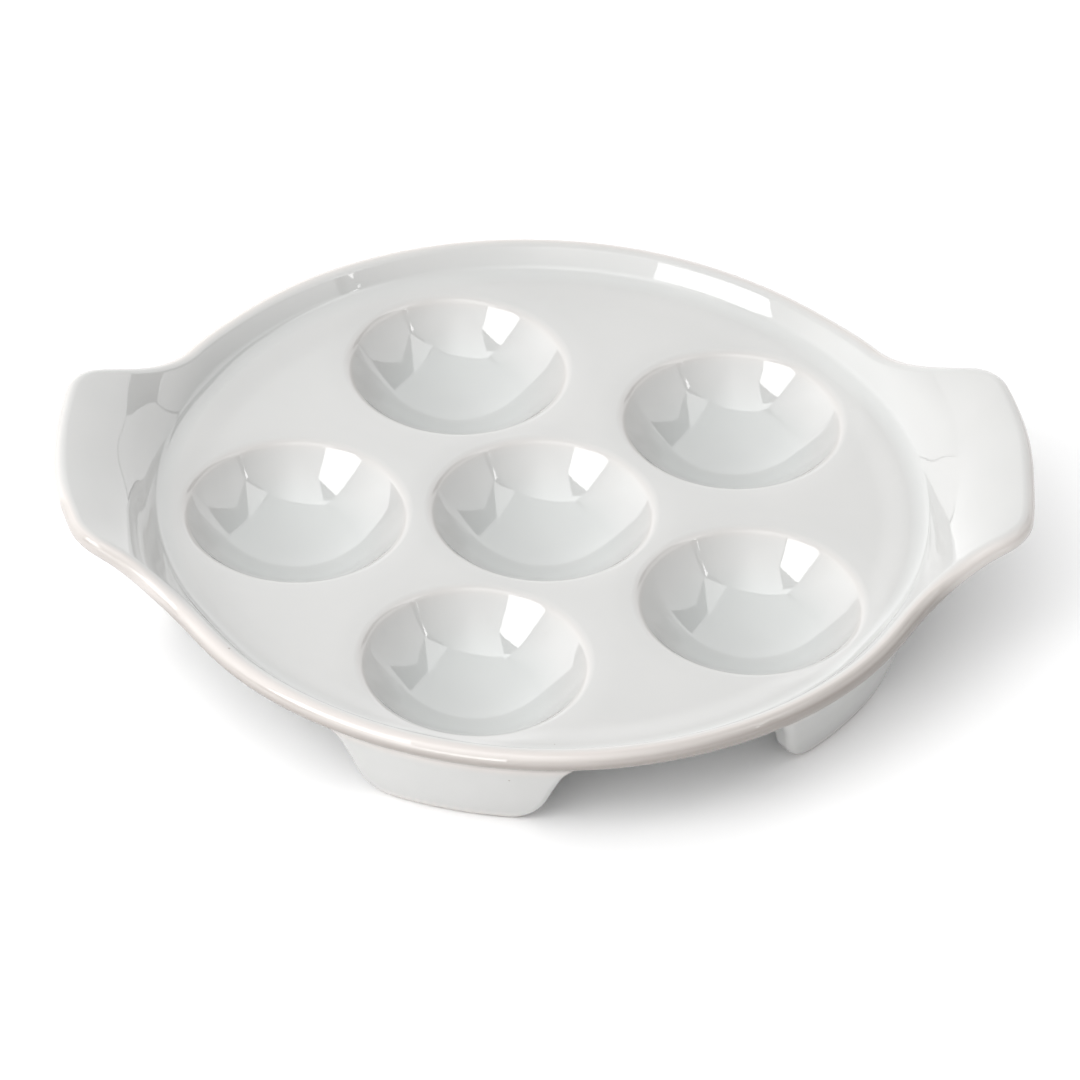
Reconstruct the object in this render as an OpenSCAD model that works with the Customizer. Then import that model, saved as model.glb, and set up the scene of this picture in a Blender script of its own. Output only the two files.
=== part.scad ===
// Shallow round serving dish with six cups, two raised ear handles and
// five curved feet, drawn as the formed members that are joined in the clay.
// Millimetres, +Z up, origin on the table under the dish centre, handles on X.

/* [Body] */
// Length over the tips of the two handles
length_over_handles = 184; // [178:1:190]
// Radius of the rim where it is widest away from the handles
rim_radius = 78.65; // [78.3:0.05:79]
// Thickness of the deck
sheet_t = 3.2; // [2.8:0.1:3.6]
// Thickness of the rim's bead and the handles
edge_t = 4; // [3.6:0.1:4.4]
// Height of the deck's upper face above the table
deck_height = 16.6; // [16.2:0.1:17.4]

/* [Side wall] */
// Radius where the flat deck ends and the wall starts to turn up
deck_radius = 69.55; // [69.3:0.05:69.8]
// Turning radius at the foot of the wall, at mid-thickness
fillet_r = 6.4; // [6.2:0.1:6.6]
// Steepest slope of the wall's inside
wall_angle = 56; // [55:1:58]
// Radius with which the wall rolls outward again
roll_r = 28.6; // [27:0.1:31]
// Slope of the wall's outside, which runs in under the rim
under_angle = 40; // [38:1:42]

/* [Cups] */
// Radius of the circle that the outer cups sit on
cup_ring_r = 46.5; // [46:0.1:46.7]
// Radius at which a cup leaves the flat deck
cup_mouth_r = 22.4; // [21.8:0.1:22.6]
// Rounding of a cup's mouth
cup_lip_r = 2.6; // [2.2:0.1:2.8]
// Steepest slope of a cup's inside, where the lip begins
cup_slope = 49; // [47:1:52]
// Depth of a cup below the deck
cup_depth = 12.2; // [11.2:0.1:12.6]
// Thickness of a cup's wall
cup_t = 2.6; // [2.4:0.1:2.7]

/* [Handles] */
// Half angle of a handle's outer arc
ear_half_angle = 12.55; // [11:0.01:14]
// Rounding of a handle's outer corners, at mid-thickness
ear_corner_r = 8.1; // [6.5:0.1:8.5]
// Sweep with which a handle runs into the rim, at mid-thickness
ear_flare_r = 39.7; // [36:0.1:46]

/* [Feet] */
// Radius of the outer edge of a foot on the table
foot_r = 71.2; // [70.6:0.1:71.8]
// Thickness of a foot on the table
foot_t = 5.3; // [4.8:0.1:5.6]
// Half length of a foot's flat on the table
foot_flat = 10.1; // [8:0.1:12]
// Rounding of a foot's lower corners
foot_corner_r = 8; // [6:0.5:9]

/* [Hidden] */
$fn = 96;
rho = edge_t / 2;
mid_deck = deck_height - rho;
// mid-thickness radius of the rim, and of a handle's tip
rim_c = rim_radius - rho;
ear_c = length_over_handles / 2 - rho;

// ---- one wall section, followed at mid-thickness by its slope angle
function turn_up(a) = [deck_radius + fillet_r * sin(a), mid_deck + fillet_r * (1 - cos(a))];
wall_end = turn_up(wall_angle);
function roll_out(a) = wall_end + roll_r * [sin(wall_angle) - sin(a), cos(a) - cos(wall_angle)];
function slope_at(r) = asin(sin(wall_angle) - (r - wall_end[0]) / roll_r);
function off(p, a, k) = p + k * [-sin(a), cos(a)];
rim_a = slope_at(rim_c);

up_steps = 8;
roll_steps = 4;
wall_line = concat(
    [for (i = [0 : up_steps]) let(a = wall_angle * i / up_steps) [turn_up(a), a]],
    [for (i = [1 : roll_steps]) let(a = wall_angle + (rim_a - wall_angle) * i / roll_steps) [roll_out(a), a]]);
last_w = len(wall_line) - 1;
wall_top = [for (m = wall_line) off(m[0], m[1], rho)];

// outside of the wall: a small turn from the deck's underside, a straight slope
// up to the rim's round, and the round as far as the rim's seat
deck_under = deck_height - sheet_t;
rim_pt = wall_line[last_w][0];
touch_pt = off(rim_pt, under_angle, -rho);
bend_r = (touch_pt[0] - (touch_pt[1] - deck_under) / tan(under_angle) - deck_radius) / tan(under_angle / 2);
function bend(a) = [deck_radius + bend_r * sin(a), deck_under + bend_r * (1 - cos(a))];
bend_steps = 4;
seat_steps = 3;
wall_under = concat(
    [for (i = [0 : bend_steps]) bend(under_angle * i / bend_steps)],
    [for (i = [0 : seat_steps]) off(rim_pt, under_angle + (rim_a - under_angle) * i / seat_steps, -rho)]);
last_u = len(wall_under) - 1;

// half-round nose that ends the sheet at slope a
nose_steps = 10;
function nose(p, a) = [for (i = [0 : nose_steps]) let(t = a + 90 - 180 * i / nose_steps) p + rho * [cos(t), sin(t)]];

// ---- plan of a handle's edge at mid-thickness: tip arc, corner, flare, rim
corner_d = ear_c - ear_corner_r;
flare_d = rim_c + ear_flare_r;
join_d = ear_corner_r + ear_flare_r;
flare_a = ear_half_angle + acos((corner_d * corner_d + flare_d * flare_d - join_d * join_d) / (2 * corner_d * flare_d));
corner_pt = corner_d * [cos(ear_half_angle), sin(ear_half_angle)];
flare_pt = flare_d * [cos(flare_a), sin(flare_a)];
meet_pt = corner_pt + (flare_pt - corner_pt) * ear_corner_r / join_d;
meet_a = atan2(meet_pt[1], meet_pt[0]);
// distance from the dish axis to a circle's far or near side along direction t
function far_side(d, a, r, t) = d * cos(t - a) + sqrt(max(0, r * r - pow(d * sin(t - a), 2)));
function near_side(d, a, r, t) = d * cos(t - a) - sqrt(max(0, r * r - pow(d * sin(t - a), 2)));
function edge_r(t) = let(u = abs(t))
    u <= ear_half_angle ? ear_c :
    u <= meet_a ? far_side(corner_d, ear_half_angle, ear_corner_r, u) :
    u <= flare_a ? near_side(flare_d, flare_a, ear_flare_r, u) : rim_c;
// the handle stops a little before its flare has died into the rim
ear_end = flare_a - 1.5;

// ---- cup section about its own axis
// a bowl z = k2 q^2 + k4 q^4, flatter at the bottom than a ball, then the lip
cup_q = cup_mouth_r - cup_lip_r * sin(cup_slope);
cup_rise = cup_depth - cup_lip_r * (1 - cos(cup_slope));
cup_steep = tan(cup_slope) * cup_q / 2;
k4 = (cup_steep - cup_rise) / pow(cup_q, 4);
k2 = (2 * cup_rise - cup_steep) / pow(cup_q, 2);
function bowl(q) = [q, deck_height - cup_depth + k2 * q * q + k4 * pow(q, 4)];
function bowl_a(q) = atan(2 * k2 * q + 4 * k4 * pow(q, 3));
lip_pt = [cup_mouth_r, deck_height - cup_lip_r];
cup_in = concat(
    [for (i = [0 : 5]) let(t = cup_slope * i / 6) lip_pt + cup_lip_r * [-sin(t), cos(t)]],
    [for (i = [0 : 13]) bowl(cup_q * (1 - i / 14))],
    [bowl(0)]);
cup_out = concat(
    [for (i = [0 : 13]) let(q = 0.955 * cup_q * i / 13) bowl(q) + cup_t * [sin(bowl_a(q)), -cos(bowl_a(q))]],
    [[cup_mouth_r, deck_height - sheet_t]]);

cup_angles = [180, 108, 36, -36, -108];

module cup(x, y) {
    translate([x, y, 0]) rotate_extrude() polygon(concat(cup_in, cup_out));
}

module ring_cup(i) {
    cup(cup_ring_r * cos(cup_angles[i]), cup_ring_r * sin(cup_angles[i]));
}

module deck() {
    color("whitesmoke") difference() {
        translate([0, 0, deck_height - sheet_t]) cylinder(r = deck_radius, h = sheet_t);
        translate([0, 0, deck_height - 2 * sheet_t]) cylinder(r = cup_mouth_r, h = 3 * sheet_t);
        for (a = cup_angles)
            translate([cup_ring_r * cos(a), cup_ring_r * sin(a), deck_height - 2 * sheet_t])
                cylinder(r = cup_mouth_r, h = 3 * sheet_t);
    }
}

module well_centre() { color("gainsboro") cup(0, 0); }
module well_left() { color("gainsboro") ring_cup(0); }
module well_back_left() { color("gainsboro") ring_cup(1); }
module well_back_right() { color("gainsboro") ring_cup(2); }
module well_front_right() { color("gainsboro") ring_cup(3); }
module well_front_left() { color("gainsboro") ring_cup(4); }

module side_wall() {
    color("ghostwhite") rotate_extrude()
        polygon(concat(wall_top, [for (i = [0 : last_u]) wall_under[last_u - i]]));
}

module rim_arc(start) {
    rotate([0, 0, start]) rotate_extrude(angle = 180 - 2 * ear_end)
        polygon(nose(rim_pt, rim_a));
}

module rim_front() { color("linen") rim_arc(180 + ear_end); }
module rim_back() { color("linen") rim_arc(ear_end); }

// ---- a handle: radial sections of the rolled-out wall, each ended by the
// half-round nose where the plan of the edge says
ear_steps = 48;
strip_steps = 6;
function ear_section(t) =
    let(a1 = slope_at(edge_r(t)),
        line = [for (i = [0 : strip_steps]) let(a = rim_a + (a1 - rim_a) * i / strip_steps) [roll_out(a), a]],
        grow = 1 / cos(ear_end / ear_steps))
    concat(
        [for (i = [0 : strip_steps - 1]) let(q = off(line[i][0], line[i][1], rho)) [q[0] * (i == 0 ? grow : 1), q[1]]],
        nose(line[strip_steps][0], a1),
        [for (i = [0 : strip_steps - 1]) let(j = strip_steps - 1 - i, q = off(line[j][0], line[j][1], -rho)) [q[0] * (j == 0 ? grow : 1), q[1]]]);
sec_n = 2 * strip_steps + nose_steps + 1;

module ear() {
    pts = [for (k = [0 : ear_steps]) let(t = ear_end * (2 * k / ear_steps - 1))
           for (q = ear_section(t)) [q[0] * cos(t), q[0] * sin(t), q[1]]];
    skin = [for (k = [0 : ear_steps - 1]) for (i = [0 : sec_n - 1])
            let(a = k * sec_n + i, b = k * sec_n + (i + 1) % sec_n) each
            [[a, b, b + sec_n], [a, b + sec_n, a + sec_n]]];
    // end caps: a zipper across the section, upper side against lower side
    half = floor(sec_n / 2);
    function cap(o, flip) = [for (i = [0 : half - 1]) let(a = o + i, b = o + i + 1, c = o + sec_n - 1 - i, d = o + sec_n - 2 - i) each
        (b == d ? [flip ? [a, b, c] : [a, c, b]] :
         flip ? [[a, b, c], [b, d, c]] : [[a, c, b], [b, c, d]])];
    polyhedron(points = pts, faces = concat(skin, cap(0, false), cap(ear_steps * sec_n, true)), convexity = 6);
}

module handle_right() { color("snow") ear(); }
module handle_left() { color("snow") rotate([0, 0, 180]) ear(); }

// ---- a foot: the arc of a leaning tab, its ends cut to rounded shoulders
foot_side_a = 70;
foot_reach = 75.4;
foot_inner_top = 68.2;
foot_angles = [180, 106, 39.5, -39.5, -106];
foot_line = concat(
    [[foot_r - foot_t, 0], [foot_r, 0],
     [foot_reach, touch_pt[1] - (touch_pt[0] - foot_reach) * tan(under_angle)]],
    [for (i = [0 : bend_steps]) bend(under_angle * (1 - i / bend_steps))],
    [[foot_inner_top, deck_under]]);
corner_steps = 6;
function shoulder(s) = concat(
    [for (i = [0 : corner_steps]) let(t = -90 + foot_side_a * i / corner_steps)
     [s * (foot_flat + foot_corner_r * cos(t)), foot_corner_r * (1 + sin(t))]],
    [let(z0 = foot_corner_r * (1 - sin(90 - foot_side_a)), x0 = foot_flat + foot_corner_r * cos(90 - foot_side_a), z1 = deck_height + 6)
     [s * (x0 + (z1 - z0) / tan(foot_side_a)), z1]]);

module foot(a) {
    right = shoulder(1);
    left = shoulder(-1);
    rotate([0, 0, a]) intersection() {
        rotate([0, 0, -30]) rotate_extrude(angle = 60) polygon(foot_line);
        translate([foot_r - 20, 0, 0]) rotate([90, 0, 90])
            linear_extrude(height = 40) polygon(concat(right, [for (i = [1 : len(left)]) left[len(left) - i]]));
    }
}

module foot_left() { color("whitesmoke") foot(foot_angles[0]); }
module foot_back_left() { color("whitesmoke") foot(foot_angles[1]); }
module foot_back_right() { color("whitesmoke") foot(foot_angles[2]); }
module foot_front_right() { color("whitesmoke") foot(foot_angles[3]); }
module foot_front_left() { color("whitesmoke") foot(foot_angles[4]); }

deck();
well_centre();
well_left();
well_back_left();
well_back_right();
well_front_right();
well_front_left();
side_wall();
rim_front();
rim_back();
handle_left();
handle_right();
foot_left();
foot_back_left();
foot_back_right();
foot_front_right();
foot_front_left();
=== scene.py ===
import math

import bpy
import numpy as np
from mathutils import Matrix, Vector
from mathutils.geometry import delaunay_2d_cdt


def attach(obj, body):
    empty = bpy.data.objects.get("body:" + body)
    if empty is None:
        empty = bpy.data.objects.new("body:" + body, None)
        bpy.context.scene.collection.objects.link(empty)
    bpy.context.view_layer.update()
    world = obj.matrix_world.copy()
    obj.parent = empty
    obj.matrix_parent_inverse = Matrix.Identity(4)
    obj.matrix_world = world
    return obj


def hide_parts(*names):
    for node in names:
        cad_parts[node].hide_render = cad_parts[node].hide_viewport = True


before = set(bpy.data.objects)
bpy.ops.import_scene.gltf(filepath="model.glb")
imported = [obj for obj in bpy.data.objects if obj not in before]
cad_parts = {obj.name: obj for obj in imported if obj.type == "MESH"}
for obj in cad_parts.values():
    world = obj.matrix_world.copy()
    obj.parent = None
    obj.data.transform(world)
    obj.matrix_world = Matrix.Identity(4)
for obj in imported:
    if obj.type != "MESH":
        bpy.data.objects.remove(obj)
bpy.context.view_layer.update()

# ----------------------------------------------------------------------------
# Dimensions of the dish in millimetres; z = 0 on the table, handles along X
# ----------------------------------------------------------------------------
H = 16.6            # deck's upper face
T = 3.2             # thickness of deck and cups
RHO = 2.0           # half the thickness of rim and handles
R_DECK = 69.55      # end of the flat deck
R_FIL = 4.4 + RHO   # turning radius at the foot of the wall, mid-thickness
A_WALL = math.radians(56)
R_ROLL = 28.6       # the wall rolls outward with this radius
R_RIM = 76.65       # rim, mid-thickness
R_EAR = 92 - RHO    # handle tip, mid-thickness
A_UNDER = math.radians(40)   # the wall's outside runs in under the rim
CUP_RING = 46.5
CUP_MOUTH = 22.4
CUP_LIP = 2.6
CUP_DEPTH = 12.2
CUP_SLOPE = math.radians(49)
CUP_T = 2.6         # thickness of a cup's wall
CUP_DIP = 0.5       # the deck sinks softly towards each mouth
EDGE_FULL = 0.8     # and the clay is fuller where deck and wall meet between the cups
EAR_HALF = math.radians(12.55)
EAR_CORNER = 8.1
EAR_FLARE = 39.7
SHOULDER = 1.13     # the edge is drawn up a little where it runs into a handle
CUP_ANGLES = {"left": 180, "back_left": 108, "back_right": 36, "front_right": -36, "front_left": -108}
cup_xy = {"well_centre": (0.0, 0.0)}
for _k, _a in CUP_ANGLES.items():
    cup_xy["well_" + _k] = (CUP_RING * math.cos(math.radians(_a)), CUP_RING * math.sin(math.radians(_a)))

N_RING = 720        # columns round the rim
N_CUP = 216         # columns round a cup


# ----------------------------------------------------------------------------
# Slow kiln warp: a smooth vector field that bends every piece alike, so pieces
# that meet stay together. It dies out at the table.
# ----------------------------------------------------------------------------
WAVES = [  # kx, ky (1/mm), phase, dz, radial
    (0.041, 0.018, 0.4, 0.10, 0.05),
    (-0.027, 0.052, 1.9, 0.08, 0.07),
    (0.071, -0.066, 3.1, 0.035, 0.03),
    (0.104, 0.088, 5.2, 0.018, 0.018),
    (-0.148, 0.121, 0.9, 0.010, 0.010),
    (0.033, -0.171, 2.2, 0.008, 0.008),
]


EAR_WAVES = [  # the handles were pressed by hand
    (0.29, 0.15, 0.7, 0.10),
    (0.13, -0.33, 2.4, 0.08),
    (0.52, 0.24, 4.0, 0.03),
]


def smooth(a, b, x):
    t = np.clip((x - a) / (b - a), 0, 1)
    return t * t * (3 - 2 * t)


def warp(P):
    x, y, z = P[:, 0], P[:, 1], P[:, 2]
    lift = np.clip(z / 9.0, 0, 1)
    lift = lift * lift * (3 - 2 * lift)
    d = np.zeros_like(P)
    r = np.hypot(x, y) + 1e-9
    t = np.abs(np.arctan2(y, x))
    t = np.degrees(np.minimum(t, math.pi - t))
    out = np.clip((r - R_DECK) / (R_RIM - R_DECK), 0, 1)
    d[:, 2] += SHOULDER * np.exp(-((t - 30.2) / 8.84) ** 2) * out * out * (3 - 2 * out)
    full = EDGE_FULL * smooth(63.5, 70.0, r) * smooth(R_RIM, 70.0, r)
    for cx, cy in cup_xy.values():
        k = smooth(26.2, 18.2, np.hypot(x - cx, y - cy))
        d[:, 2] -= CUP_DIP * k
        full = full * (1 - k)
    d[:, 2] += full
    for kx, ky, ph, az, ar in WAVES:
        w = np.sin(kx * x + ky * y + 0.05 * z + ph)
        d[:, 2] += az * w
        d[:, 0] += ar * w * x / (r + 20)
        d[:, 1] += ar * w * y / (r + 20)
    ear = smooth(73.0, 84.0, np.abs(x))
    for kx, ky, ph, az in EAR_WAVES:
        d[:, 2] += az * ear * np.sin(kx * x + ky * y + ph)
    # and stand a little askew
    d[:, 0] += smooth(72.0, 88.0, np.abs(x)) * (0.8 * smooth(-6.0, -24.0, y) - 0.5 * smooth(6.0, 24.0, y) * (x > 0))
    return d * lift[:, None]


def warp_normals(P, N):
    e = 0.05
    J = np.zeros((len(P), 3, 3))
    for k in range(3):
        s = np.zeros(3)
        s[k] = e
        J[:, :, k] = (warp(P + s) - warp(P - s)) / (2 * e)
    out = N - np.einsum("nij,ni->nj", J, N)
    return out / np.maximum(np.linalg.norm(out, axis=1, keepdims=True), 1e-12)


# ----------------------------------------------------------------------------
# Meshes are put together from patches: points, normals, a mask of glaze and painted shade, and faces.
# Points that coincide are welded, and each corner keeps its patch's normal.
# ----------------------------------------------------------------------------
class Patches:
    def __init__(self):
        self.P, self.N, self.M, self.F, self.n = [], [], [], [], 0

    def add(self, P, N, faces, M=None):
        P = np.asarray(P, float).reshape(-1, 3)
        N = np.asarray(N, float).reshape(-1, 3)
        if M is None:
            M = np.zeros((len(P), 3))
        self.P.append(P)
        self.N.append(N)
        self.M.append(np.asarray(M, float).reshape(-1, 3))
        # every face of a patch looks the way the patch's normals point
        turn = 0.0
        for f in faces[:: max(1, len(faces) // 400)]:
            q = P[list(f)]
            turn += float(np.cross(q, np.roll(q, -1, 0)).sum(0) @ N[list(f)].sum(0))
        if turn < 0:
            faces = [f[::-1] for f in faces]
        self.F += [tuple(i + self.n for i in f) for f in faces]
        self.n += len(P)

    def grid(self, P, N, M=None, wrap=False):
        """P, N: rows x columns x 3; wrap joins the last row to the first."""
        ni, nj = P.shape[:2]
        faces = []
        for i in range(ni if wrap else ni - 1):
            i2 = (i + 1) % ni
            for j in range(nj - 1):
                faces.append((i * nj + j, i2 * nj + j, i2 * nj + j + 1, i * nj + j + 1))
        self.add(P.reshape(-1, 3), N.reshape(-1, 3), faces, None if M is None else M.reshape(-1, 3))

    def build(self, name, material):
        P, N, M = np.concatenate(self.P), np.concatenate(self.N), np.concatenate(self.M)
        Q = P + warp(P)
        N = warp_normals(P, N)
        key = np.round(P * 2000).astype(np.int64)
        _, first, back = np.unique(key, axis=0, return_index=True, return_inverse=True)
        back = np.asarray(back).reshape(-1)
        faces, corners = [], []
        for f in self.F:
            g, c = [], []
            for i in f:
                v = int(back[i])
                if v not in g:
                    g.append(v)
                    c.append(i)
            if len(g) > 2:
                faces.append(g)
                corners += c
        me = bpy.data.meshes.new(name)
        me.from_pydata((Q[first] / 1000.0).tolist(), [], faces)
        me.polygons.foreach_set("use_smooth", np.ones(len(faces), bool))
        mask = np.zeros((len(first), 4), np.float32)
        top = np.zeros((len(first), 3))
        np.maximum.at(top, back, M)
        mask[:, :3] = top
        mask[:, 3] = 1
        # the mask, glaze and painted shade together, goes to the material as the glaze attribute
        att = me.attributes.new("glaze", "FLOAT_COLOR", "POINT")
        att.data.foreach_set("color", mask.ravel())
        me.update()
        me.normals_split_custom_set(N[np.array(corners)].tolist())
        ob = bpy.data.objects.new(name, me)
        bpy.context.scene.collection.objects.link(ob)
        me.materials.append(material)
        return ob


def revolve(rz, nrz, n, centre=(0.0, 0.0)):
    """Section points and normals (r, z) turned into n columns: arrays n x k x 3."""
    t = np.arange(n) * 2 * np.pi / n
    c, s = np.cos(t)[:, None], np.sin(t)[:, None]
    rz, nrz = np.asarray(rz), np.asarray(nrz)
    P = np.stack([centre[0] + c * rz[:, 0], centre[1] + s * rz[:, 0], np.broadcast_to(rz[:, 1], (n, len(rz)))], -1)
    N = np.stack([c * nrz[:, 0], s * nrz[:, 0], np.broadcast_to(nrz[:, 1], (n, len(rz)))], -1)
    return P, N


# ---- the wall's section at mid-thickness, by slope angle
MID = H - RHO


def turn_up(a):
    return np.stack([R_DECK + R_FIL * np.sin(a), MID + R_FIL * (1 - np.cos(a))], -1)


W_END = turn_up(np.array(A_WALL))


def roll_out(a):
    return W_END + R_ROLL * np.stack([math.sin(A_WALL) - np.sin(a), np.cos(a) - math.cos(A_WALL)], -1)


def slope_at(r):
    return np.arcsin(np.clip(math.sin(A_WALL) - (np.asarray(r) - W_END[0]) / R_ROLL, -1, 1))


A_RIM = float(slope_at(R_RIM))


def up_normal(a):
    return np.stack([-np.sin(a), np.cos(a)], -1)


# outside of the wall: from the deck's underside in a small turn to a straight
# slope that ends on the rim's round
_rim = np.array([R_RIM, roll_out(np.array(A_RIM))[1]])
_touch = _rim - RHO * up_normal(np.array(A_UNDER))
_corner = _touch[0] - (_touch[1] - (H - T)) / math.tan(A_UNDER)
R_TURN = (_corner - R_DECK) / math.tan(A_UNDER / 2)


def outside():
    """Points and slopes of the wall's outside, from the deck to the rim's seat."""
    a1 = np.linspace(0, A_UNDER, 9)
    p1 = np.stack([R_DECK + R_TURN * np.sin(a1), H - T + R_TURN * (1 - np.cos(a1))], -1)
    k = np.linspace(0, 1, 13)[1:-1]
    p2 = p1[-1] + (_touch - p1[-1]) * k[:, None]
    a3 = np.linspace(A_UNDER, A_RIM, 7)
    p3 = _rim - RHO * up_normal(a3)
    return np.concatenate([p1, p2, p3]), np.concatenate([a1, np.full(len(p2), A_UNDER), a3])


_out_p, _out_a = outside()


def under_z(r):
    return np.where(r < R_DECK, H - T, np.interp(r, _out_p[:, 0], _out_p[:, 1]))


def under_a(r):
    return np.where(r < R_DECK, 0.0, np.interp(r, _out_p[:, 0], _out_a))


# ---- plan of the edge at mid-thickness
_d2 = R_EAR - EAR_CORNER
_d1 = R_RIM + EAR_FLARE
_dj = EAR_CORNER + EAR_FLARE
FLARE_A = EAR_HALF + math.acos((_d2 ** 2 + _d1 ** 2 - _dj ** 2) / (2 * _d1 * _d2))
_c2 = np.array([math.cos(EAR_HALF), math.sin(EAR_HALF)]) * _d2
_c1 = np.array([math.cos(FLARE_A), math.sin(FLARE_A)]) * _d1
_meet = _c2 + (_c1 - _c2) * EAR_CORNER / _dj
MEET_A = math.atan2(_meet[1], _meet[0])


def edge_r(t):
    u = np.abs(np.asarray(t, float))
    u = np.minimum(u, np.abs(math.pi - u))
    far = _d2 * np.cos(u - EAR_HALF) + np.sqrt(np.maximum(0, EAR_CORNER ** 2 - (_d2 * np.sin(u - EAR_HALF)) ** 2))
    near = _d1 * np.cos(u - FLARE_A) - np.sqrt(np.maximum(0, EAR_FLARE ** 2 - (_d1 * np.sin(u - FLARE_A)) ** 2))
    return np.where(u <= EAR_HALF, R_EAR, np.where(u <= MEET_A, far, np.where(u <= FLARE_A, near, R_RIM)))


# ----------------------------------------------------------------------------
# Glaze: white, glossy, warmer where it thins on edges, greenish grey where it
# pools, bare biscuit under the feet, a few dark specks, faint orange peel;
# greyish brown painted shade under the rim, in the feet's top creases and on shaded edges
# ----------------------------------------------------------------------------
def glaze_material():
    m = bpy.data.materials.new("white_glaze")
    m.use_nodes = True
    nt = m.node_tree
    nt.nodes.clear()

    def node(kind, **kw):
        n = nt.nodes.new(kind)
        for k, v in kw.items():
            setattr(n, k, v)
        return n

    link = nt.links.new
    out = node("ShaderNodeOutputMaterial")
    bsdf = node("ShaderNodeBsdfPrincipled")
    link(bsdf.outputs["BSDF"], out.inputs["Surface"])
    # the glaze attribute: red is thin glaze and painted shade, green is pooled glaze, blue is bare biscuit
    att = node("ShaderNodeAttribute", attribute_name="glaze")
    sep = node("ShaderNodeSeparateColor")
    link(att.outputs["Color"], sep.inputs["Color"])
    tc = node("ShaderNodeTexCoord")

    # cloudy density of the glaze
    cloud = node("ShaderNodeTexNoise")
    cloud.inputs["Scale"].default_value = 38.0
    cloud.inputs["Detail"].default_value = 3.0
    cloud.inputs["Roughness"].default_value = 0.5
    link(tc.outputs["Object"], cloud.inputs["Vector"])
    body = node("ShaderNodeValToRGB")
    body.color_ramp.elements[0].position = 0.35
    body.color_ramp.elements[0].color = (0.453, 0.453, 0.446, 1)
    body.color_ramp.elements[1].position = 0.68
    body.color_ramp.elements[1].color = (0.470, 0.468, 0.460, 1)
    link(cloud.outputs["Fac"], body.inputs["Fac"])

    def mix(fac, a, b_rgb):
        n = node("ShaderNodeMix", data_type="RGBA")
        link(fac, n.inputs["Factor"])
        link(a, n.inputs["A"])
        n.inputs["B"].default_value = (*b_rgb, 1)
        return n.outputs["Result"]

    def mult(a, k):
        n = node("ShaderNodeMath", operation="MULTIPLY")
        link(a, n.inputs[0])
        if isinstance(k, float):
            n.inputs[1].default_value = k
        else:
            link(k, n.inputs[1])
        return n.outputs[0]

    col = mix(mult(sep.outputs["Green"], 0.85), body.outputs["Color"], (0.472, 0.485, 0.478))
    def part(src, lo, hi):
        n = node("ShaderNodeMapRange")
        n.inputs["From Min"].default_value = lo
        n.inputs["From Max"].default_value = hi
        link(src, n.inputs["Value"])
        return n.outputs["Result"]

    # thin glaze is warm; the upper range of the red mask paints shade, greyish brown, under the rim, on the wall just
    # under it, in the creases at the tops of the feet and on the shaded front-right rim and left handle edge
    col = mix(part(sep.outputs["Red"], 0.0, 0.55), col, (0.512, 0.481, 0.460))
    col = mix(part(sep.outputs["Red"], 0.55, 1.0), col, (0.260, 0.236, 0.217))

    # specks: the cores of a sparse scatter of cells
    cells = node("ShaderNodeTexVoronoi", feature="F1")
    cells.inputs["Scale"].default_value = 118.0
    cells.inputs["Randomness"].default_value = 1.0
    link(tc.outputs["Object"], cells.inputs["Vector"])
    pick = node("ShaderNodeSeparateColor")
    link(cells.outputs["Color"], pick.inputs["Color"])
    size = node("ShaderNodeMapRange")
    size.inputs["From Min"].default_value = 0.72
    size.inputs["From Max"].default_value = 1.0
    size.inputs["To Min"].default_value = 0.0
    size.inputs["To Max"].default_value = 0.030
    link(pick.outputs["Red"], size.inputs["Value"])
    near = node("ShaderNodeMath", operation="LESS_THAN")
    link(cells.outputs["Distance"], near.inputs[0])
    link(size.outputs["Result"], near.inputs[1])
    col = mix(mult(near.outputs[0], 0.62), col, (0.23, 0.20, 0.17))

    # bare biscuit on the table faces of the feet
    grit = node("ShaderNodeTexNoise")
    grit.inputs["Scale"].default_value = 1600.0
    grit.inputs["Detail"].default_value = 4.0
    link(tc.outputs["Object"], grit.inputs["Vector"])
    biscuit = node("ShaderNodeValToRGB")
    biscuit.color_ramp.elements[0].position = 0.3
    biscuit.color_ramp.elements[0].color = (0.60, 0.55, 0.49, 1)
    biscuit.color_ramp.elements[1].position = 0.7
    biscuit.color_ramp.elements[1].color = (0.72, 0.68, 0.62, 1)
    link(grit.outputs["Fac"], biscuit.inputs["Fac"])
    last = node("ShaderNodeMix", data_type="RGBA")
    link(sep.outputs["Blue"], last.inputs["Factor"])
    link(col, last.inputs["A"])
    link(biscuit.outputs["Color"], last.inputs["B"])
    link(last.outputs["Result"], bsdf.inputs["Base Color"])

    # gloss, dulled a little by handling, matt on the biscuit
    wear = node("ShaderNodeTexNoise")
    wear.inputs["Scale"].default_value = 90.0
    wear.inputs["Detail"].default_value = 5.0
    link(tc.outputs["Object"], wear.inputs["Vector"])
    gloss = node("ShaderNodeMapRange")
    gloss.inputs["From Min"].default_value = 0.3
    gloss.inputs["From Max"].default_value = 0.8
    gloss.inputs["To Min"].default_value = 0.018
    gloss.inputs["To Max"].default_value = 0.040
    link(wear.outputs["Fac"], gloss.inputs["Value"])
    rough = node("ShaderNodeMix", data_type="FLOAT")
    link(sep.outputs["Blue"], rough.inputs["Factor"])
    link(gloss.outputs["Result"], rough.inputs["A"])
    rough.inputs["B"].default_value = 0.8
    link(rough.outputs["Result"], bsdf.inputs["Roughness"])
    bsdf.inputs["IOR"].default_value = 1.7
    bsdf.inputs["Specular IOR Level"].default_value = 0.5

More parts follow.
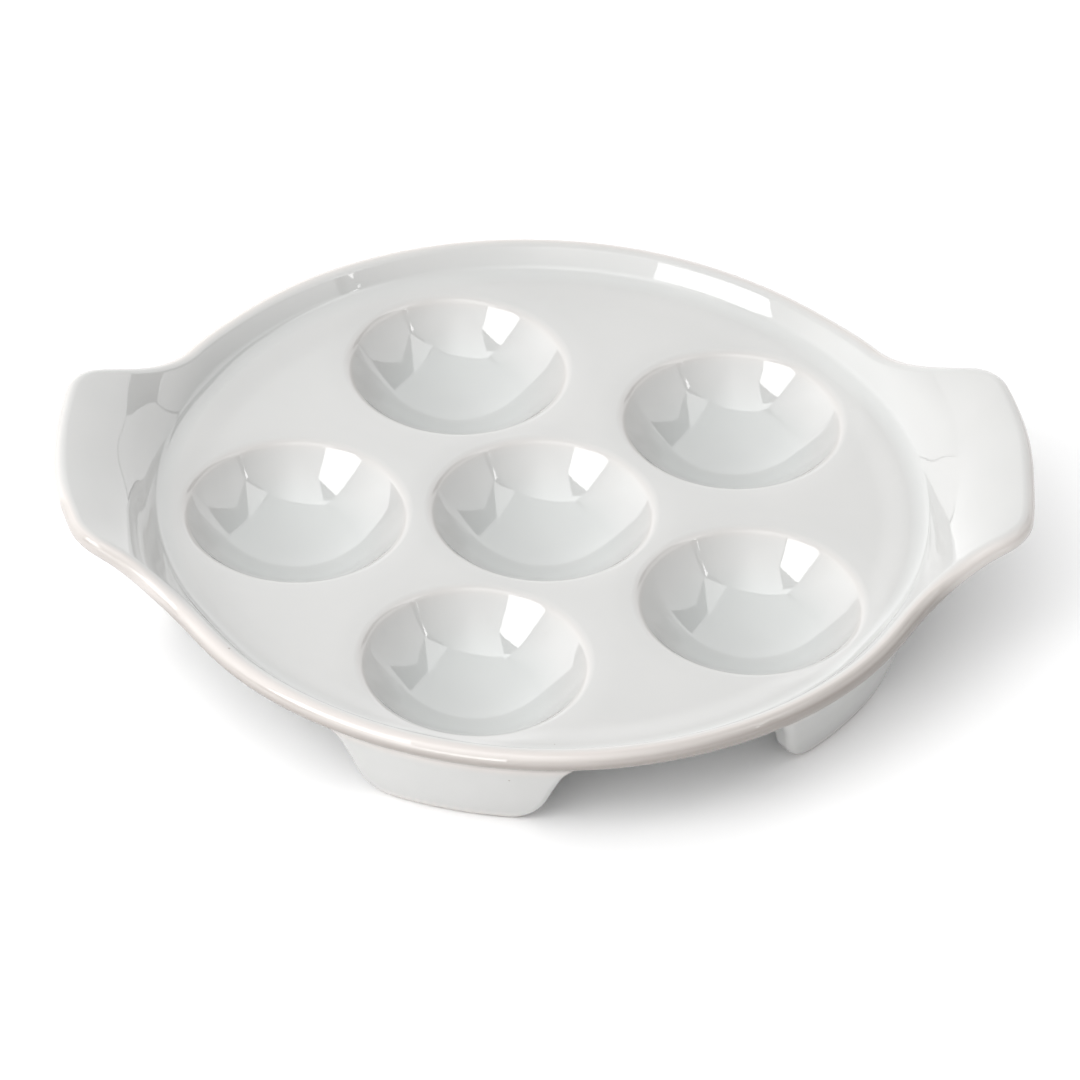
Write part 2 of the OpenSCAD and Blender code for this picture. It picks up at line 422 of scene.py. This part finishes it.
    # orange peel and slow ripple of the melted surface
    peel = node("ShaderNodeTexNoise")
    peel.inputs["Scale"].default_value = 420.0
    peel.inputs["Detail"].default_value = 2.0
    link(tc.outputs["Object"], peel.inputs["Vector"])
    ripple = node("ShaderNodeTexNoise")
    ripple.inputs["Scale"].default_value = 75.0
    ripple.inputs["Detail"].default_value = 1.0
    link(tc.outputs["Object"], ripple.inputs["Vector"])
    b1 = node("ShaderNodeBump")
    b1.inputs["Strength"].default_value = 0.10
    b1.inputs["Distance"].default_value = 0.00006
    link(peel.outputs["Fac"], b1.inputs["Height"])
    b2 = node("ShaderNodeBump")
    b2.inputs["Strength"].default_value = 0.35
    b2.inputs["Distance"].default_value = 0.00018
    link(ripple.outputs["Fac"], b2.inputs["Height"])
    link(b1.outputs["Normal"], b2.inputs["Normal"])
    link(b2.outputs["Normal"], bsdf.inputs["Normal"])
    return m


GLAZE = glaze_material()
made = []


def done(name, patches):
    ob = patches.build(name, GLAZE)
    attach(ob, "root")
    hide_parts(name.replace("_glazed", ""))
    made.append(ob)


# ----------------------------------------------------------------------------
# Cups
# ----------------------------------------------------------------------------
CUP_Q = CUP_MOUTH - CUP_LIP * math.sin(CUP_SLOPE)          # where the lip meets the bowl
_rise = CUP_DEPTH - CUP_LIP * (1 - math.cos(CUP_SLOPE))
_steep = math.tan(CUP_SLOPE) * CUP_Q / 2
CUP_K4 = (_steep - _rise) / CUP_Q ** 4
CUP_K2 = (2 * _rise - _steep) / CUP_Q ** 2


def bowl_at(q):
    """Height and slope angle of the bowl at distance q from its axis."""
    return H - CUP_DEPTH + CUP_K2 * q ** 2 + CUP_K4 * q ** 4, np.arctan(2 * CUP_K2 * q + 4 * CUP_K4 * q ** 3)


def cup(name, cx, cy):
    p = Patches()
    t1 = np.linspace(0, CUP_SLOPE, 25)
    q = np.linspace(CUP_Q, 0, 49)[1:]
    zb, tb = bowl_at(q)
    lip = np.stack([CUP_MOUTH - CUP_LIP * np.sin(t1), H - CUP_LIP + CUP_LIP * np.cos(t1)], -1)
    rz = np.concatenate([lip, np.stack([q, zb], -1)])
    t = np.concatenate([t1, tb])
    nrz = np.stack([-np.sin(t), np.cos(t)], -1)
    P, N = revolve(rz, nrz, N_CUP, (cx, cy))
    M = np.zeros_like(P)
    # a warm ring of thin glaze on the lip; its lightness is also painted light that softens the dark line along the
    # lip's edge
    M[..., 0] = 0.20 * np.exp(-((rz[:, 0] - CUP_MOUTH + 1.5) / 0.8) ** 2)
    M[..., 1] = smooth(H - 3.0, H - 9.0, rz[:, 1])
    p.grid(P, N, M, wrap=True)
    # outside, ending in the corner under the deck
    q = np.linspace(0, CUP_Q * 0.955, 40)
    zb, tb = bowl_at(q)
    rz = np.stack([q + CUP_T * np.sin(tb), zb - CUP_T * np.cos(tb)], -1)
    end = np.array([CUP_MOUTH, H - T])
    k = np.linspace(0, 1, 7)[1:, None]
    m = rz[-1] + (H - T - rz[-1][1]) / math.tan(tb[-1]) * np.array([1, math.tan(tb[-1])])
    bend = (1 - k) ** 2 * rz[-1] + 2 * k * (1 - k) * m + k ** 2 * end
    slope = tb[-1] * (1 - np.linspace(0, 1, 7)[1:])
    rz = np.concatenate([rz, bend])
    t = np.concatenate([tb, slope])
    nrz = np.stack([np.sin(t), -np.cos(t)], -1)
    P, N = revolve(rz, nrz, N_CUP, (cx, cy))
    p.grid(P, N, None, wrap=True)
    # seat in the deck
    P, N = revolve([[CUP_MOUTH, H - T], [CUP_MOUTH, H]], [[1, 0], [1, 0]], N_CUP, (cx, cy))
    p.grid(P, N, None, wrap=True)
    done(name, p)


for k, (x, y) in cup_xy.items():
    cup(k + "_glazed", x, y)


# ----------------------------------------------------------------------------
# Deck
# ----------------------------------------------------------------------------
def deck():
    p = Patches()
    to = np.arange(N_RING) * 2 * np.pi / N_RING
    ring = np.stack([R_DECK * np.cos(to), R_DECK * np.sin(to)], -1)
    tw = np.arange(N_CUP) * 2 * np.pi / N_CUP
    holes = [np.stack([x + CUP_MOUTH * np.cos(tw), y + CUP_MOUTH * np.sin(tw)], -1) for x, y in cup_xy.values()]
    step = 1.5
    pts = []
    for i in range(-60, 61):
        for j in range(-60, 61):
            q = np.array([(i + 0.5 * (j % 2)) * step, j * step * 0.866])
            if np.hypot(*q) > R_DECK - 1.0:
                continue
            if all(np.hypot(q[0] - x, q[1] - y) > CUP_MOUTH + 0.9 for x, y in cup_xy.values()):
                pts.append(q)
    allp = np.concatenate([ring] + holes + [np.array(pts)])
    edges = [(i, (i + 1) % N_RING) for i in range(N_RING)]
    o = N_RING
    for _ in holes:
        edges += [(o + i, o + (i + 1) % N_CUP) for i in range(N_CUP)]
        o += N_CUP
    vs, _, fs, ov, _, _ = delaunay_2d_cdt([Vector(v) for v in allp.tolist()], edges, [], 0, 1e-6)
    vs = np.array([list(v) for v in vs])
    tri = []
    for f in fs:
        c = vs[list(f)].mean(0)
        if np.hypot(*c) > R_DECK:
            continue
        if any(np.hypot(c[0] - x, c[1] - y) < CUP_MOUTH * math.cos(math.pi / N_CUP) for x, y in cup_xy.values()):
            continue
        a, b, d = vs[f[0]], vs[f[1]], vs[f[2]]
        up = (b[0] - a[0]) * (d[1] - a[1]) - (b[1] - a[1]) * (d[0] - a[0]) > 0
        tri.append(tuple(f) if up else tuple(f)[::-1])
    n = len(vs)
    p.add(np.c_[vs, np.full(n, H)], np.tile([0, 0, 1.0], (n, 1)), tri)
    p.add(np.c_[vs, np.full(n, H - T)], np.tile([0, 0, -1.0], (n, 1)), [f[::-1] for f in tri])
    P, N = revolve([[R_DECK, H - T], [R_DECK, H]], [[1, 0], [1, 0]], N_RING)
    p.grid(P, N, None, wrap=True)
    for x, y in cup_xy.values():
        P, N = revolve([[CUP_MOUTH, H - T], [CUP_MOUTH, H]], [[-1, 0], [-1, 0]], N_CUP, (x, y))
        p.grid(P, N, None, wrap=True)
    done("deck_glazed", p)


deck()


# ----------------------------------------------------------------------------
# Side wall
# ----------------------------------------------------------------------------
def side_wall():
    p = Patches()
    a1 = np.linspace(0, A_WALL, 25)
    a2 = np.linspace(A_WALL, A_RIM, 9)[1:]
    a = np.concatenate([a1, a2])
    mid = np.concatenate([turn_up(a1), roll_out(a2)])
    n = up_normal(a)
    top = mid + RHO * n
    P, N = revolve(top, n, N_RING)
    M = np.zeros_like(P)
    M[..., 1] = 0.45 * np.exp(-((top[:, 0] - R_DECK - 2.2) / 2.0) ** 2)
    p.grid(P, N, M, wrap=True)
    P, N = revolve(_out_p, -up_normal(_out_a), N_RING)
    M = np.zeros_like(P)
    # painted shade, greyish brown, on the wall's outside just under the rim's round
    M[..., 0] = smooth(3.6, 0.2, np.hypot(*(_out_p - _out_p[-1]).T))
    p.grid(P, N, M, wrap=True)
    P, N = revolve([_out_p[0], top[0]], [[-1, 0], [-1, 0]], N_RING)
    p.grid(P, N, None, wrap=True)
    e = [math.cos(A_RIM), math.sin(A_RIM)]
    P, N = revolve([_out_p[-1], top[-1]], [e, e], N_RING)
    p.grid(P, N, None, wrap=True)
    done("side_wall_glazed", p)


side_wall()


# ----------------------------------------------------------------------------
# Rim and handles: the sheet runs out to the edge and ends in a full round
# ----------------------------------------------------------------------------
N_NOSE = 20
N_SHEET = 22
EAR_COLS = math.ceil(math.degrees(FLARE_A) * N_RING / 360)


def edge_frame(t):
    """Edge curve, surface normal and outward direction for plan angles t."""
    r = edge_r(t)
    a = slope_at(r)
    z = roll_out(a)[:, 1]
    E = np.stack([r * np.cos(t), r * np.sin(t), z], -1)
    er = np.stack([np.cos(t), np.sin(t), 0 * t], -1)
    N = -np.sin(a)[:, None] * er + np.cos(a)[:, None] * np.array([0, 0, 1.0])
    h = 1e-4
    tp, tm = t + h, t - h

    def pos(u):
        q = edge_r(u)
        zz = roll_out(slope_at(q))[:, 1]
        return np.stack([q * np.cos(u), q * np.sin(u), zz], -1)

    Tn = pos(tp) - pos(tm)
    Tn /= np.linalg.norm(Tn, axis=1, keepdims=True)
    B = np.cross(Tn, N)
    B /= np.linalg.norm(B, axis=1, keepdims=True)
    B *= np.sign((B * er).sum(1, keepdims=True))
    N = np.cross(B, Tn)
    N /= np.linalg.norm(N, axis=1, keepdims=True)
    N *= np.sign(N[:, 2:3])
    return r, a, E, N, B


def edge_piece(name, k0, k1):
    t = np.arange(k0, k1 + 1) * 2 * np.pi / N_RING
    r, a, E, N, B = edge_frame(t)
    p = Patches()
    ph = np.linspace(0, np.pi, N_NOSE + 1)
    D = np.cos(ph)[None, :, None] * N[:, None, :] + np.sin(ph)[None, :, None] * B[:, None, :]
    M = np.zeros_like(D)
    rim = smooth(R_RIM + 5.0, R_RIM + 0.5, r)[:, None]
    # warm thin glaze on the upper part of the round; on the rim the lower part of the round gets painted shade,
    # greyish brown, under the lip
    M[..., 0] = (0.34 + 0.21 * rim) * smooth(0.3, 1.3, ph)[None, :]
    M[..., 0] += 0.45 * smooth(1.4, 2.9, ph)[None, :] * rim
    # painted shade on the front-right part of the rim and on the front edge of the left handle
    shade_side = smooth(-10.0, 50.0, E[:, 0]) * smooth(0.0, -30.0, E[:, 1])
    shade_side += 1.8 * smooth(-70.0, -78.0, E[:, 0]) * smooth(-8.0, -16.0, E[:, 1])
    M[..., 0] += 0.22 * shade_side[:, None] * smooth(0.1, 0.9, ph)[None, :]
    M = np.minimum(M, 1.0)
    p.grid(E[:, None, :] + RHO * D, D, M)
    ears = r.max() > R_RIM + 1e-6
    if ears:
        u = np.linspace(0, 1, N_SHEET + 1)
        rr = R_RIM + (r - R_RIM)[:, None] * u[None, :]
        aa = slope_at(rr)
        mid = roll_out(aa)
        nn = up_normal(aa)
        for s in (1, -1):
            rz = mid + s * RHO * nn
            P = np.stack([rz[..., 0] * np.cos(t)[:, None], rz[..., 0] * np.sin(t)[:, None], rz[..., 1]], -1)
            Q = s * np.stack([nn[..., 0] * np.cos(t)[:, None], nn[..., 0] * np.sin(t)[:, None], nn[..., 1]], -1)
            # the last column is the round's own first or last line
            P[:, -1] = E + s * RHO * N
            Q[:, -1] = s * N
            p.grid(P, Q)
    # seat against the wall
    mj = roll_out(np.array(A_RIM))
    nj = up_normal(np.array(A_RIM))
    tj = []
    for s in (-1, 1):
        q = mj + s * RHO * nj
        tj.append(np.stack([q[0] * np.cos(t), q[0] * np.sin(t), np.full_like(t, q[1])], -1))
    J = np.stack(tj, 1)
    back = -np.stack([math.cos(A_RIM) * np.cos(t), math.cos(A_RIM) * np.sin(t), np.full_like(t, math.sin(A_RIM))], -1)
    p.grid(J, np.stack([back, back], 1))
    # ends
    for k, s in ((0, -1), (-1, 1)):
        tn = np.array([-math.sin(t[k]), math.cos(t[k]), 0]) * s
        loop = E[k] + RHO * D[k]
        p.add(loop, np.tile(tn, (len(loop), 1)), [tuple(range(len(loop)))])
    done(name, p)


q = N_RING // 2
edge_piece("handle_right_glazed", -EAR_COLS, EAR_COLS)
edge_piece("rim_back_glazed", EAR_COLS, q - EAR_COLS)
edge_piece("handle_left_glazed", q - EAR_COLS, q + EAR_COLS)
edge_piece("rim_front_glazed", q + EAR_COLS, N_RING - EAR_COLS)


# ----------------------------------------------------------------------------
# Feet: leaning tabs with rounded shoulders that flare into the underside
# ----------------------------------------------------------------------------
FOOT_R = 71.2
FOOT_T = 5.3
FOOT_TOP = 75.0       # outer face where it starts to flare
FOOT_IN_TOP = 68.2
FOOT_FLAT = 10.1
FOOT_CORNER = 8.0
FOOT_SIDE = math.radians(70)
FOOT_EDGE = 1.8       # rounding of the tab's edges, wider on its ends
FOOT_END = 1.1
FOOT_ANGLES = {"left": 180, "back_left": 106, "back_right": 39.5, "front_right": -39.5, "front_left": -106}
FLARE_OUT, FLARE_SIDE, FLARE_IN = 1.0, 1.4, 0.6


def foot_half(z):
    """Half length of the tab at height z, and the outward direction there."""
    zc = FOOT_CORNER * (1 - math.cos(FOOT_SIDE))
    z = np.asarray(z, float)
    c = np.sqrt(np.maximum(0, FOOT_CORNER ** 2 - (FOOT_CORNER - np.minimum(z, zc)) ** 2))
    w = FOOT_FLAT + c + np.maximum(0, z - zc) / math.tan(FOOT_SIDE)
    sn = np.where(z < zc, c / FOOT_CORNER, math.sin(FOOT_SIDE))
    dn = np.where(z < zc, (FOOT_CORNER - z) / FOOT_CORNER, math.cos(FOOT_SIDE))
    return w, sn, dn


def foot(name, angle, longer):
    # rows of the tab, from the flat at the bottom to the top, as a share v
    v = np.concatenate([FOOT_CORNER * (1 - np.cos(np.linspace(0, FOOT_SIDE, 15))) / 14.0,
                        np.linspace(0.42, 1.0, 22)])
    v = np.unique(np.round(v, 6))
    nv = len(v)
    flare = 1 - np.sqrt(np.maximum(0, 1 - smooth(0.62, 1.0, v) ** 2))
    cols = 30
    # across the thickness: share from the outer face (1) to the inner face (-1),
    # with the inset of the outline that rounds the edge
    ps = np.linspace(0, np.pi / 2, 8)
    tau = FOOT_T / 2
    strip = [(tau - FOOT_EDGE + FOOT_EDGE * math.cos(x), FOOT_EDGE * (1 - math.sin(x))) for x in ps]
    strip += [(-a, b) for a, b in strip[::-1]]

    def place(tt, rr, zz):
        th = math.radians(angle) + tt / 71.5
        return np.stack([rr * np.cos(th), rr * np.sin(th), zz], -1)

    def layer(off, inset, ft, fr):
        """Outline and rows at thickness offset off from the tab's middle."""
        s = off / tau
        r0 = FOOT_R - tau + off
        r1 = (FOOT_TOP + FOOT_IN_TOP) / 2 + s * (FOOT_TOP - FOOT_IN_TOP) / 2
        rtop = r1 + fr
        ztop = float(under_z(np.array(rtop)))
        z = v * ztop
        r = r0 + (r1 - r0) * v + fr * flare
        w, sn, dn = foot_half(z)
        half = w + longer - FOOT_END * inset * sn + ft * flare
        zi = z + inset * dn * np.clip(1 - v * 1.2, 0, 1)
        return half, r, zi

    p = Patches()
    rows = []
    for off, inset in strip:
        s = off / tau
        fr = FLARE_OUT * max(0, s) - FLARE_IN * max(0, -s)
        ft = FLARE_SIDE
        rows.append(layer(off, inset, ft, fr))
    ns = len(rows)
    # outer and inner faces
    u = np.linspace(-1, 1, cols + 1)
    P_out = place(rows[0][0][:, None] * u[None, :], rows[0][1][:, None] + 0 * u[None, :], rows[0][2][:, None] + 0 * u[None, :])
    P_in = place(rows[-1][0][:, None] * u[None, :], rows[-1][1][:, None] + 0 * u[None, :], rows[-1][2][:, None] + 0 * u[None, :])
    sides = {}
    for s in (-1, 1):
        sides[s] = np.stack([place(s * h, r, z) for h, r, z in rows], 1)   # rows x strip
    # underside: from the outer face's lowest row through the strip to the inner one
    under = np.stack([place(h[0] * u, r[0] + 0 * u, z[0] + 0 * u) for h, r, z in rows], 0)  # strip x cols
    blocks = [(P_out, False), (P_in, True), (sides[1], False), (sides[-1], True), (under, True)]
    # vertex normals from the faces of the skin, welded over all blocks
    allp = np.concatenate([b.reshape(-1, 3) for b, _ in blocks])
    key = np.round(allp * 2000).astype(np.int64)
    _, back = np.unique(key, axis=0, return_inverse=True)
    back = np.asarray(back).reshape(-1)
    acc = np.zeros((back.max() + 1, 3))
    o = 0
    for b, flip in blocks:
        a00, a10, a11, a01 = b[:-1, :-1], b[1:, :-1], b[1:, 1:], b[:-1, 1:]
        n = np.cross(a11 - a00, a01 - a10)
        if flip:
            n = -n
        idx = (o + np.arange(b.shape[0] * b.shape[1])).reshape(b.shape[:2])
        for q_ in (idx[:-1, :-1], idx[1:, :-1], idx[1:, 1:], idx[:-1, 1:]):
            np.add.at(acc, back[q_.ravel()], n.reshape(-1, 3))
        o += b.shape[0] * b.shape[1]
    acc /= np.maximum(np.linalg.norm(acc, axis=1, keepdims=True), 1e-12)
    nrm = acc[back]
    # the outward test: the outer face must look away from the dish axis
    mid_n = nrm[(P_out.shape[0] // 2) * P_out.shape[1] + cols // 2]
    mid_p = P_out[P_out.shape[0] // 2, cols // 2]
    sign = 1.0 if (mid_n[:2] * mid_p[:2]).sum() > 0 else -1.0
    nrm = nrm * sign
    # the top edge takes the underside's own normal, so the joint does not show
    o = 0
    for (b, flip), last in zip(blocks, (True, True, True, True, False)):
        cnt = b.shape[0] * b.shape[1]
        n = nrm[o:o + cnt].reshape(b.shape).copy()
        if last:
            rr = np.hypot(b[-1, :, 0], b[-1, :, 1])
            al = under_a(rr)
            er = b[-1, :, :2] / rr[:, None]
            n[-1] = np.stack([np.sin(al) * er[:, 0], np.sin(al) * er[:, 1], -np.cos(al)], -1)
        M = np.zeros_like(b)
        M[..., 2] = smooth(0.16, 0.02, b[..., 2])
        M[..., 0] = 0.5 * smooth(2.2, 0.3, b[..., 2])
        # painted shade in the crease along the top of each tab, where it meets the underside
        if last:
            M[..., 0] = np.maximum(M[..., 0], 0.8 * smooth(0.74, 1.0, v)[:, None])
        p.grid(b, n, M)
        o += cnt
    # lid inside the body, along the underside
    top_o, top_i = P_out[-1], P_in[-1]
    lid = np.stack([top_o, top_i], 0)
    p.grid(lid, np.tile([0, 0, 1.0], lid.shape[:2] + (1,)))
    for s in (-1, 1):
        loop = sides[s][-1]
        p.add(loop, np.tile([0, 0, 1.0], (len(loop), 1)), [tuple(range(len(loop)))])
    done(name, p)


for k, a in FOOT_ANGLES.items():
    # the two that show in the photograph differ a little in length
    foot("foot_" + k + "_glazed", a, {"front_left": 0.8, "front_right": -1.0}.get(k, 0.0))


# ----------------------------------------------------------------------------
# Stage: pale floor, soft studio light, camera at the photograph's angle
# ----------------------------------------------------------------------------
def plain(name, rgb, rough):
    m = bpy.data.materials.new(name)
    m.use_nodes = True
    b = m.node_tree.nodes["Principled BSDF"]
    b.inputs["Base Color"].default_value = (*rgb, 1)
    b.inputs["Roughness"].default_value = rough
    b.inputs["Specular IOR Level"].default_value = 0.1
    return m


me = bpy.data.meshes.new("floor")
s = 3.0
me.from_pydata([(-s, -s, 0), (s, -s, 0), (s, s, 0), (-s, s, 0)], [], [(0, 1, 2, 3)])
floor = bpy.data.objects.new("floor", me)
bpy.context.scene.collection.objects.link(floor)
me.materials.append(plain("pale_floor", (0.87, 0.87, 0.87), 0.7))

AZ = math.radians(3.874)
EL = math.radians(39.034)
ROLL = math.radians(-2.277)
DIST = 1408.6
AIM = 15.2              # height of the point that the camera is set by
SCALE = 5.2975          # pixels per millimetre there
CX, CY = 541.92, 512.96
PX = PY = 540.0

y1 = np.array([math.sin(AZ), math.cos(AZ), 0])
r0 = np.array([math.cos(AZ), -math.sin(AZ), 0])
zz = np.array([0, 0, 1.0])
v0 = y1 * math.sin(EL) + zz * math.cos(EL)
wv = -y1 * math.cos(EL) + zz * math.sin(EL)
right = r0 * math.cos(ROLL) - v0 * math.sin(ROLL)
up = r0 * math.sin(ROLL) + v0 * math.cos(ROLL)
U0 = (CX - PX) / SCALE
V0 = -(CY - PY) / SCALE
loc = np.array([0, 0, AIM]) + wv * DIST - right * U0 - up * V0
cam_data = bpy.data.cameras.new("camera")
cam = bpy.data.objects.new("camera", cam_data)
bpy.context.scene.collection.objects.link(cam)
cam_data.sensor_fit = "HORIZONTAL"
cam_data.sensor_width = 36.0
cam_data.lens = SCALE * DIST / 1080.0 * 36.0
cam_data.clip_start = 0.05
cam_data.clip_end = 50
rot = Matrix((right, up, wv)).transposed().to_4x4()
rot.translation = Vector(loc / 1000.0)
cam.matrix_world = rot
bpy.context.scene.camera = cam


def card(name, pts, glow, hub=None, colour=(1.0, 1.0, 1.0)):
    """A lit sheet of the studio tent; corners in metres in camera-aligned plan axes,
    glow per corner (or one for all), spread from a hub point where one is given."""
    glow = list(glow) if isinstance(glow, (list, tuple)) else [glow] * len(pts)
    pts = list(pts)
    n = len(pts)
    if hub is None:
        faces = [tuple(range(n))]
    else:
        pts.append(hub[0])
        glow.append(hub[1])
        faces = [(n, i, (i + 1) % n) for i in range(n)]
    me = bpy.data.meshes.new(name)
    me.from_pydata([tuple(x * r0 + y * y1 + z * zz) for x, y, z in pts], [], faces)
    a = me.attributes.new("glow", "FLOAT", "POINT")
    a.data.foreach_set("value", [float(g) for g in glow])
    m = bpy.data.materials.new(name)
    m.use_nodes = True
    m.node_tree.nodes.clear()
    e = m.node_tree.nodes.new("ShaderNodeEmission")
    e.inputs["Color"].default_value = (*colour, 1)
    t = m.node_tree.nodes.new("ShaderNodeAttribute")
    t.attribute_name = "glow"
    m.node_tree.links.new(t.outputs["Fac"], e.inputs["Strength"])
    o = m.node_tree.nodes.new("ShaderNodeOutputMaterial")
    m.node_tree.links.new(e.outputs["Emission"], o.inputs["Surface"])
    me.materials.append(m)
    ob = bpy.data.objects.new(name, me)
    bpy.context.scene.collection.objects.link(ob)
    ob.visible_camera = False
    return ob


def at(dist, *dirs):
    """Points at a distance along the given directions."""
    return [tuple(TENT * dist * np.array(d) / np.linalg.norm(d)) for d in dirs]


TENT = 1.6              # size of the tent
C = 0.62 * TENT
card("tent_sheet", [(-C, 1.65 * C, 0.003), (0.85 * C, 1.65 * C, 0.003), (0.80 * C, -0.60 * C, 1.80 * C),
                    (-0.07 * C, -0.456 * C, 1.685 * C), (-0.818 * C, -0.285 * C, 1.548 * C), (-0.995 * C, 0.11 * C, 1.232 * C)],
     [2.3, 1.7, 0.85, 1.05, 1.1, 1.05], ((-0.05 * C, 0.65 * C, 0.80 * C), 1.12))
card("tent_left", at(0.66, (-0.62, 0.72, 0.31), (-0.815, 0.58, 0.02), (-0.98, -0.2, 0.02), (-0.87, -0.335, 0.365), (-0.61, -0.19, 0.77),
                     (-0.50, -0.16, 0.85), (-0.63, 0.07, 0.78), (-0.69, 0.44, 0.58)),
     [1.5, 2.3, 1.6, 1.6, 1.1, 1.0, 1.0, 1.1], (at(0.66, (-0.85, 0.15, 0.40))[0], 2.6))
card("tent_gusset", at(0.70, (0.665, -0.212, 0.714), (0.389, -0.29, 0.873), (0.575, 0.25, 0.776)), 2.1)
card("tent_corner", at(0.80, (-0.52, 0.854, 0.01), (-0.815, 0.58, 0.01), (-0.62, 0.72, 0.31)), [1.6, 2.0, 1.8])
card("tent_right", at(0.60, (0.665, -0.212, 0.714), (0.72, 0.20, 0.665), (0.775, 0.555, 0.298), (0.85, 0.50, 0.06), (0.97, -0.2, 0.06), (0.84, -0.5, 0.2)),
     [1.2, 1.2, 1.3, 0.8, 0.0, 0.0], (at(0.60, (0.86, 0.1, 0.35))[0], 0.9))
card("tent_back", at(0.80, (0.455, 0.890, 0.02), (0.86, 0.50, 0.02), (0.775, 0.555, 0.298), (0.60, 0.70, 0.39)), [1.5, 1.2, 1.3, 1.5])
card("tent_front", at(0.95, (-0.355, -0.47, 0.81), (-0.45, -0.81, 0.375), (-0.30, -0.95, 0.10), (0.40, -0.91, 0.10), (0.82, -0.53, 0.22),
                      (0.67, -0.28, 0.70), (0.389, -0.29, 0.873), (-0.04, -0.26, 0.96), (-0.46, -0.16, 0.87)),
     [2.1, 1.7, 1.6, 0.05, 0.0, 0.5, 0.9, 3.0, 3.0], (at(0.95, (0.05, -0.72, 0.69))[0], 1.75))
card("key", at(0.65, (-0.355, -0.47, 0.81), (-0.61, -0.19, 0.77), (-0.87, -0.335, 0.365), (-0.45, -0.81, 0.375)), [5.8, 5.8, 5.0, 5.4])
card("fill", at(0.60, (-0.82, -0.55, 0.30), (-0.82, -0.55, 0.02), (-0.10, -0.99, 0.02), (-0.10, -0.99, 0.34)), [0.6, 0.6, 7.6, 4.0])
# small gaps and folds of the tent that show as glints
card("glint_fold", at(0.55, (0.674, -0.325, 0.663), (0.649, -0.229, 0.726), (0.624, -0.274, 0.732)), 5.0)
card("glint_seam", at(0.55, (0.697, -0.392, 0.600), (0.730, -0.466, 0.500), (0.762, -0.506, 0.404), (0.774, -0.503, 0.385),
                      (0.745, -0.470, 0.474), (0.712, -0.398, 0.580)), 4.0)
card("glint_left", at(0.55, (-0.372, -0.250, 0.894), (-0.556, -0.169, 0.814), (-0.464, -0.134, 0.876)), 3.0)

world = bpy.data.worlds.new("studio")
bpy.context.scene.world = world
world.use_nodes = True
bg = world.node_tree.nodes["Background"]
bg.inputs["Color"].default_value = (1, 1, 1, 1)
bg.inputs["Strength"].default_value = 0.06

vs = bpy.context.scene.view_settings
vs.view_transform = "Standard"
vs.look = "None"
vs.exposure = 0.0
vs.gamma = 1.0
